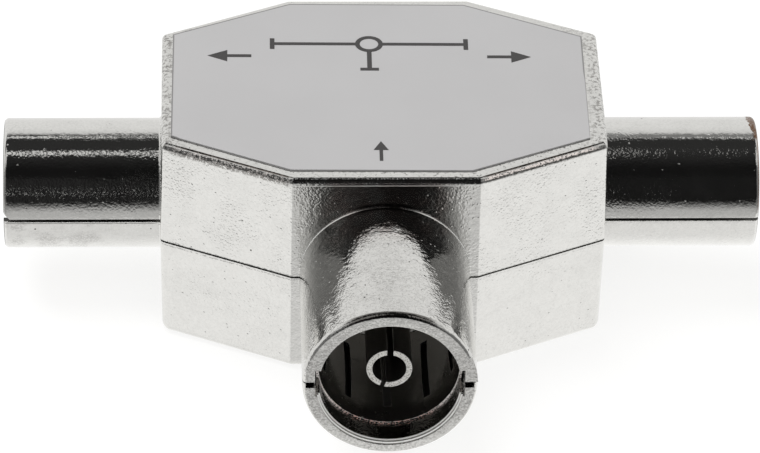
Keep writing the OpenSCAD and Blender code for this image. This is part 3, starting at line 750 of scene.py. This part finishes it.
class OBJECT_OT_splitter_contacts(bpy.types.Operator):
    """Adds the spring sleeve, the centre contacts and their insulators"""
    bl_idname = "object.splitter_contacts"
    bl_label = "Contacts"

    def execute(self, context):
        look = context.scene.splitter_contacts
        plate = finish("contact_nickel", plated_contact(look.colour, look.peel))
        for node in ("socket_sleeve", "socket_contact", "left_pin", "right_pin"):
            piece = smooth_copy(node + "_plated", node, plate, shells().sharp_angle)
        white = finish("insulator", moulded(look.insulator, roughness=0.4))
        for node in ("socket_insulator", "left_insulator", "right_insulator"):
            piece = smooth_copy(node + "_moulding", node, white, shells().sharp_angle)
        return {"FINISHED"}


class OBJECT_OT_splitter_circuit(bpy.types.Operator):
    """Finishes the circuit inside the shells"""
    bl_idname = "object.splitter_circuit"
    bl_label = "Circuit"

    def execute(self, context):
        looks = {
            "board": laminate([0.45, 0.27, 0.08]),
            "copper_track": moulded([0.6, 0.24, 0.12], roughness=0.35, size=1.0, depth=0.001, metallic=1.0),
            "solder": moulded([0.5, 0.5, 0.52], roughness=0.25, size=0.3, depth=0.004, metallic=1.0),
            "ferrite": moulded([0.018, 0.018, 0.02], roughness=0.6, size=0.2, depth=0.006),
            "enamelled_wire": moulded([0.4, 0.12, 0.04], roughness=0.2, size=0.4, depth=0.001),
            "resistor_coat": moulded([0.55, 0.4, 0.18], roughness=0.45, size=0.5, depth=0.004),
            "capacitor_coat": moulded([0.44, 0.12, 0.03], roughness=0.4, size=0.6, depth=0.01),
        }
        nodes = {
            "board": ("circuit_board",),
            "copper_track": ("board_tracks",),
            "solder": ("solder_joints",),
            "ferrite": ("matching_core", "splitting_core"),
            "enamelled_wire": ("matching_winding", "splitting_winding"),
            "resistor_coat": ("balance_resistor",),
            "capacitor_coat": ("input_capacitor", "left_capacitor", "right_capacitor"),
        }
        for name, build in looks.items():
            material = finish(name, build)
            for node in nodes[name]:
                dress(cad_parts[node], material)
        return {"FINISHED"}


# Floor and lights

def back_wall(x, y, z, wide, left):
    """The white back wall, which ends in a dark gap and a bright edge."""
    middle = wide.step(0.35, 0.25)
    rise = z / (y + wide * 0.35).higher(0.05)
    wall = (rise + left * 0.07).step(1.37, 0.95) * (0.83 - rise.step(0.5, 1.1) * 0.13)
    # The edge is thinner on the right
    left_edge = abs(rise - 1.44).step(0.12, 0.07) * left * 0.74
    right_edge = abs(rise - 1.58).step(0.09, 0.04) * x.step(0.085, 0.105) * 0.7
    glow = rise.step(2.0, 1.5) * (1 - left) * 0.2
    return wall.higher(left_edge.higher(right_edge).higher(glow) * middle) * y.step(0.04, 0.2)


def table_top(x, y, z, wide):
    """The table, which is dark at the horizon and brightest straight below."""
    ahead = z.step(0.02, -0.36) * 0.51 + z.step(-0.42, -0.76) * (0.32 + x.step(0.0, 0.1) * 0.06)
    ahead = ahead + y.step(-0.3, 0.4) * z.step(-0.3, -0.7) * 0.16
    beside = z.step(0.1, 0.0) * 0.1 + z.step(0.0, -0.5) * 0.35 + z.step(-0.4, -0.54) * 0.55
    return ahead + (beside - ahead) * wide.step(0.3, 0.6)


def overhead_strips(x, y, z, left):
    """Strips of light overhead: a thin one on the left, a soft one on the right and one out at both sides."""
    high = z.step(0.3, 0.4)
    overhead = abs(y + z * 0.01) / z.higher(0.01)
    thin = overhead.step(0.08, 0.055) * left * 0.7
    soft = overhead.step(0.17, 0.05) * x.step(0.01, 0.02) * x.step(0.058, 0.042) * 0.46
    lean = y / z.higher(0.01)
    aside = abs(x - 0.04).step(0.27, 0.34) * lean.step(0.3, 0.15) * lean.step(-0.5, -0.2) * 0.6
    return thin.higher(soft).higher(aside) * high


def front_lines(y, z, left):
    """Two thin lines in front on the left, of which the higher one is faint."""
    bright = abs(y + z * 3.64).step(0.03, 0.01) * z.step(0.1, 0.2) * z.step(0.5, 0.4) * 0.8
    faint = abs(y + z * 2.18).step(0.03, 0.01) * z.step(0.3, 0.4) * z.step(0.6, 0.5) * 0.16
    return bright.higher(faint) * left


def light_tent(sheet):
    """What reflections see in each direction: a white back, a dark front and top, and the table."""
    x, y, z = sheet.parts(sheet.node("ShaderNodeTexCoord", output="Generated"))
    wide = abs(x)
    left = x.step(0.0, -0.03)
    flank = wide.step(0.45, 0.7) * y.step(-0.85, -0.5) * z.step(0.9, 0.5) * 0.18
    bright = back_wall(x, y, z, wide, left).higher(flank).higher(overhead_strips(x, y, z, left))
    bright = bright.higher(front_lines(y, z, left)).higher(table_top(x, y, z, wide))
    # The dark isn't quite black, and it is lighter behind and straight in front
    dark = y.step(-0.55, -0.1) * 0.016 + y.step(-0.15, 0.1) * 0.008 + 0.0065
    return bright + dark + y.step(-0.7, -0.74) * (0.003 + left * 0.0105)


def build_world(ambient):
    """The light tent for reflections, white for the camera and plain light for everything else."""
    world = bpy.data.worlds.new("light_tent")
    bpy.context.scene.world = world
    sheet = Sheet(world)
    rays = sheet.node("ShaderNodeLightPath").socket.node
    seen, shiny = (Signal(sheet, rays.outputs[name]) for name in ("Is Camera Ray", "Is Glossy Ray"))
    y = sheet.parts(sheet.node("ShaderNodeTexCoord", output="Generated"))[1]
    soft = (1 - y * 2.2).higher(0.12) * ambient
    strength = (light_tent(sheet) * shiny).higher(seen).higher((1 - shiny) * soft)
    glow = sheet.node("ShaderNodeBackground", None, {"Color": (1.0, 0.997, 0.985, 1.0), "Strength": strength})
    output = sheet.tree.nodes.new("ShaderNodeOutputWorld")
    sheet.tree.links.new(glow.socket, output.inputs["Surface"])


def floor_finish():
    """White to the camera, and darker where the part's shadow falls."""
    material = bpy.data.materials.new("floor_white")
    sheet = Sheet(material)
    seen = Signal(sheet, sheet.node("ShaderNodeLightPath").socket.node.outputs["Is Camera Ray"])
    paper = sheet.node("ShaderNodeBsdfDiffuse", None, {"Color": (0.24, 0.24, 0.24, 1.0)})
    glow = sheet.node("ShaderNodeEmission", None, {"Color": (1.0, 0.998, 0.99, 1.0), "Strength": seen * 0.8})
    both = sheet.node("ShaderNodeAddShader", None, [paper, glow])
    output = sheet.tree.nodes.new("ShaderNodeOutputMaterial")
    sheet.tree.links.new(both.socket, output.inputs["Surface"])
    return material


def add_floor():
    """A floor just under the part. Reflections see the table in the world instead."""
    form = bmesh.new()
    bmesh.ops.create_grid(form, x_segments=1, y_segments=1, size=FLOOR_HALF)
    bmesh.ops.translate(form, verts=form.verts, vec=(0, 0, -FLOOR_GAP))
    mesh = bpy.data.meshes.new("floor")
    form.to_mesh(mesh)
    form.free()
    mesh.materials.append(floor_finish())
    floor = bpy.data.objects.new("floor", mesh)
    bpy.context.scene.collection.objects.link(floor)
    floor.visible_glossy = False


def add_camera(stage):
    """A camera round the aim point, at the photograph's angle."""
    turn, tilt = stage.azimuth, stage.elevation
    back = Vector((math.sin(turn) * math.cos(tilt), -math.cos(turn) * math.cos(tilt), math.sin(tilt)))
    right = Vector((0, 0, 1)).cross(back).normalized()
    up = back.cross(right)
    turned = Matrix((right, up, back)).transposed() @ Matrix.Rotation(stage.roll, 3, "Z")
    camera = bpy.data.objects.new("camera", bpy.data.cameras.new("camera"))
    camera.data.lens = stage.lens
    camera.data.clip_start = 0.01
    camera.data.clip_end = 20
    camera.matrix_world = Matrix.Translation(Vector(stage.aim) + back * stage.distance) @ turned.to_4x4()
    bpy.context.scene.collection.objects.link(camera)
    bpy.context.scene.camera = camera


def add_softbox(name, place, size, power):
    """A large soft lamp that aims at the part and doesn't show in its reflections."""
    data = bpy.data.lights.new(name, "AREA")
    data.shape = "DISK"
    data.size = size
    data.energy = power
    lamp = bpy.data.objects.new(name, data)
    lamp.location = place
    lamp.rotation_euler = (-Vector(place)).to_track_quat("-Z", "Y").to_euler()
    lamp.visible_glossy = False
    lamp.visible_camera = False
    bpy.context.scene.collection.objects.link(lamp)


class OBJECT_OT_splitter_stage(bpy.types.Operator):
    """Adds the floor, the lights and the camera"""
    bl_idname = "object.splitter_stage"
    bl_label = "Stage"

    def execute(self, context):
        stage = context.scene.splitter_stage
        context.scene.view_settings.view_transform = "Standard"
        add_floor()
        build_world(stage.ambient)
        add_softbox("softbox_top", place=(-0.25, 0.15, 0.7), size=0.6, power=4.0)
        add_camera(stage)
        return {"FINISHED"}


class VIEW3D_PT_splitter(bpy.types.Panel):
    """Lists the splitter's pieces and their settings"""
    bl_idname = "VIEW3D_PT_splitter"
    bl_label = "Aerial Splitter"
    bl_space_type = "VIEW_3D"
    bl_region_type = "UI"
    bl_category = "Splitter"

    def draw(self, context):
        for operator in OPERATORS:
            self.layout.operator(operator.bl_idname)
        for owner, settings in SETTINGS.items():
            group = getattr(context.scene, owner)
            for name in settings.__annotations__:
                self.layout.prop(group, name)


SETTINGS = {
    "splitter_shells": SplitterShells,
    "splitter_label": SplitterLabel,
    "splitter_contacts": SplitterContacts,
    "splitter_stage": SplitterStage,
}
OPERATORS = (
    OBJECT_OT_splitter_shells,
    OBJECT_OT_splitter_label,
    OBJECT_OT_splitter_contacts,
    OBJECT_OT_splitter_circuit,
    OBJECT_OT_splitter_stage,
)


def register():
    for item in (*SETTINGS.values(), *OPERATORS, VIEW3D_PT_splitter):
        bpy.utils.register_class(item)
    for owner, settings in SETTINGS.items():
        setattr(bpy.types.Scene, owner, PointerProperty(type=settings))


def unregister():
    for owner in SETTINGS:
        delattr(bpy.types.Scene, owner)
    for item in reversed((*SETTINGS.values(), *OPERATORS, VIEW3D_PT_splitter)):
        bpy.utils.unregister_class(item)


def main():
    register()
    bpy.ops.object.splitter_shells()
    bpy.ops.object.splitter_label()
    bpy.ops.object.splitter_contacts()
    bpy.ops.object.splitter_circuit()
    bpy.ops.object.splitter_stage()


if __name__ == "__main__":
    main()
